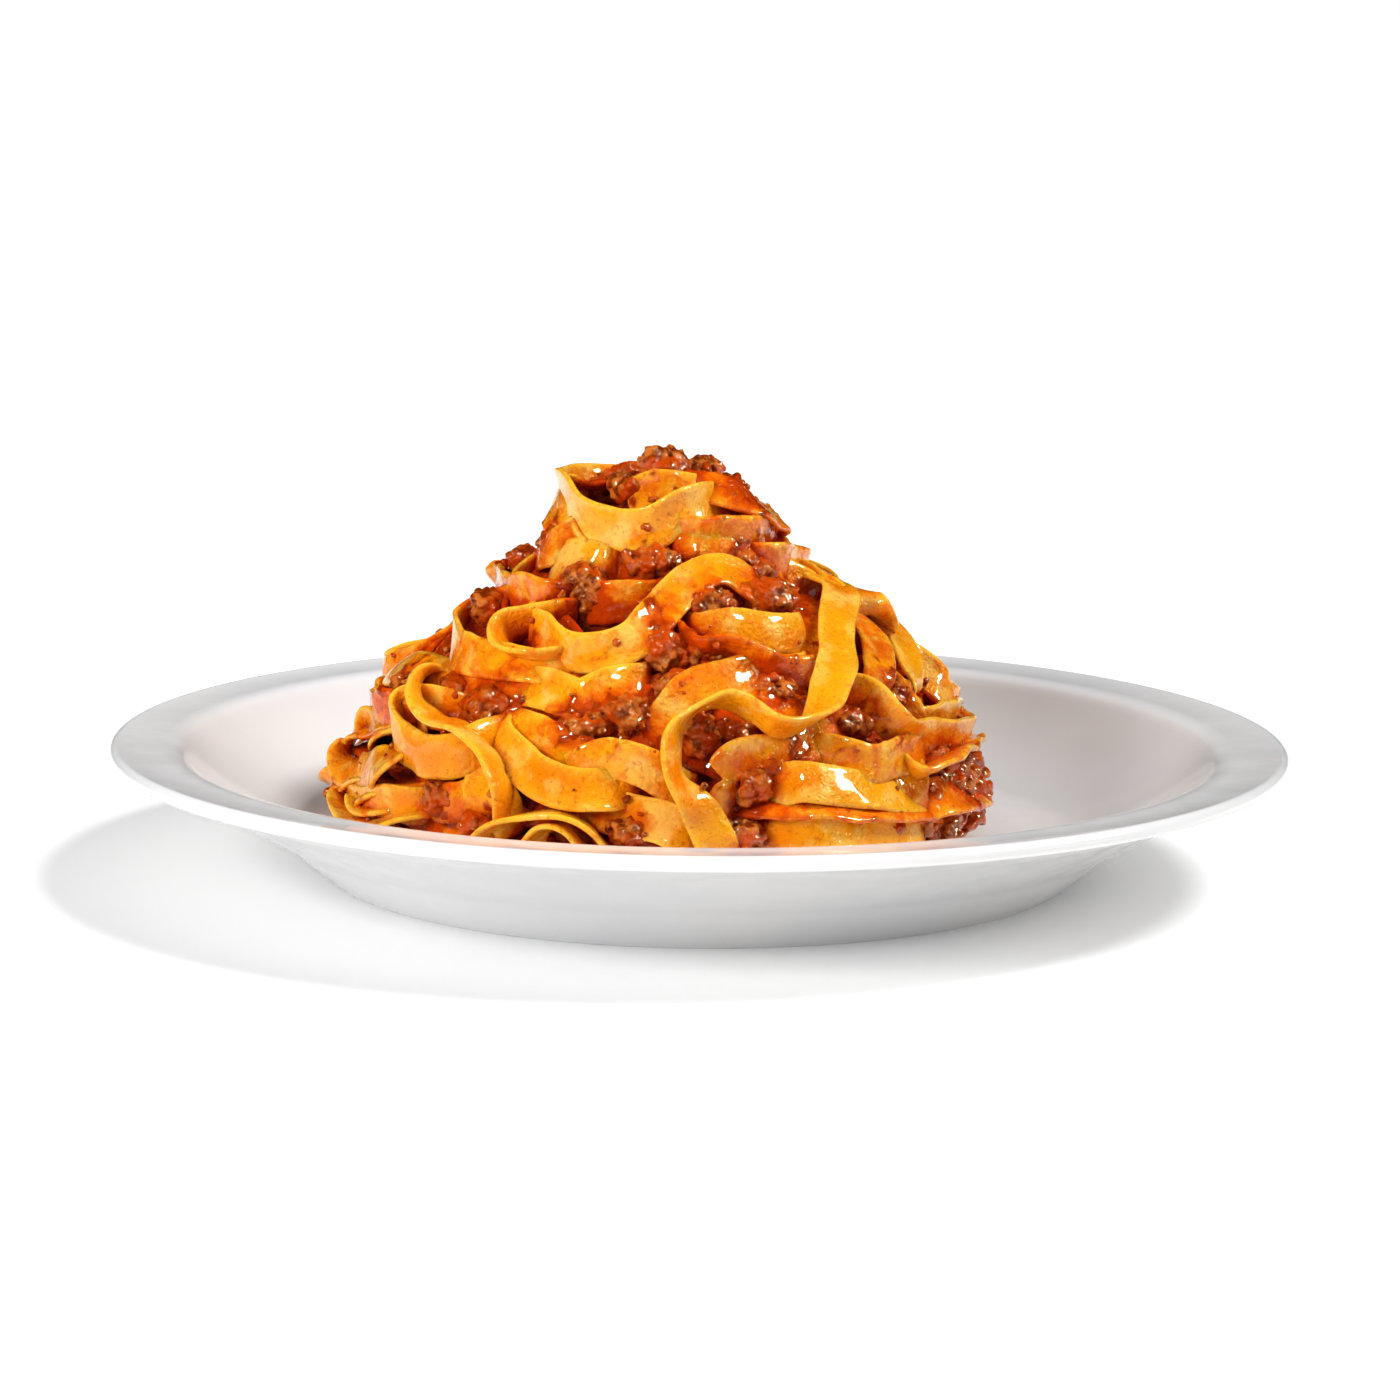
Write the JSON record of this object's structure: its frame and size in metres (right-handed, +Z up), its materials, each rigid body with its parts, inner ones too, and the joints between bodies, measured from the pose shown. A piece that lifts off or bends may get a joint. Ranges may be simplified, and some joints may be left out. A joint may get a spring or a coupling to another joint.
{
  "type": "bowl of tagliatelle bolognese",
  "caption": "Wide rimmed white pasta dish holding a tall heap of broad egg noodles with lumps of tomato meat sauce on and between them.",
  "frame": {"origin": "middle of the dish's foot ring, on the table it stands on", "axes": "+Z up, -Y towards the side shown in the picture, +X to that view's right"},
  "size_m": [0.24, 0.24, 0.0871],
  "materials": {
    "glazed_dish": "smooth white glaze",
    "sauced_pasta": "soft cooked egg pasta, wet with oil and tomato sauce",
    "meat_sauce": "wet minced meat in tomato sauce"
  },
  "bodies": {
    "root": {"dish": "glazed_dish", "meat_lump_01": "meat_sauce", "meat_lump_02": "meat_sauce", "meat_lump_03": "meat_sauce", "meat_lump_04": "meat_sauce", "meat_lump_05": "meat_sauce", "meat_lump_06": "meat_sauce", "meat_lump_07": "meat_sauce", "meat_lump_08": "meat_sauce", "meat_lump_09": "meat_sauce", "meat_lump_10": "meat_sauce", "meat_lump_11": "meat_sauce", "meat_lump_12": "meat_sauce", "meat_lump_13": "meat_sauce", "meat_lump_14": "meat_sauce", "meat_lump_15": "meat_sauce", "meat_lump_16": "meat_sauce", "meat_lump_17": "meat_sauce", "meat_lump_18": "meat_sauce", "meat_lump_19": "meat_sauce", "meat_lump_20": "meat_sauce", "meat_lump_21": "meat_sauce", "meat_lump_22": "meat_sauce", "meat_lump_23": "meat_sauce", "meat_lump_24": "meat_sauce", "meat_lump_25": "meat_sauce", "meat_lump_26": "meat_sauce", "tagliatelle_heap": "sauced_pasta"}
  },
  "joints": []
}
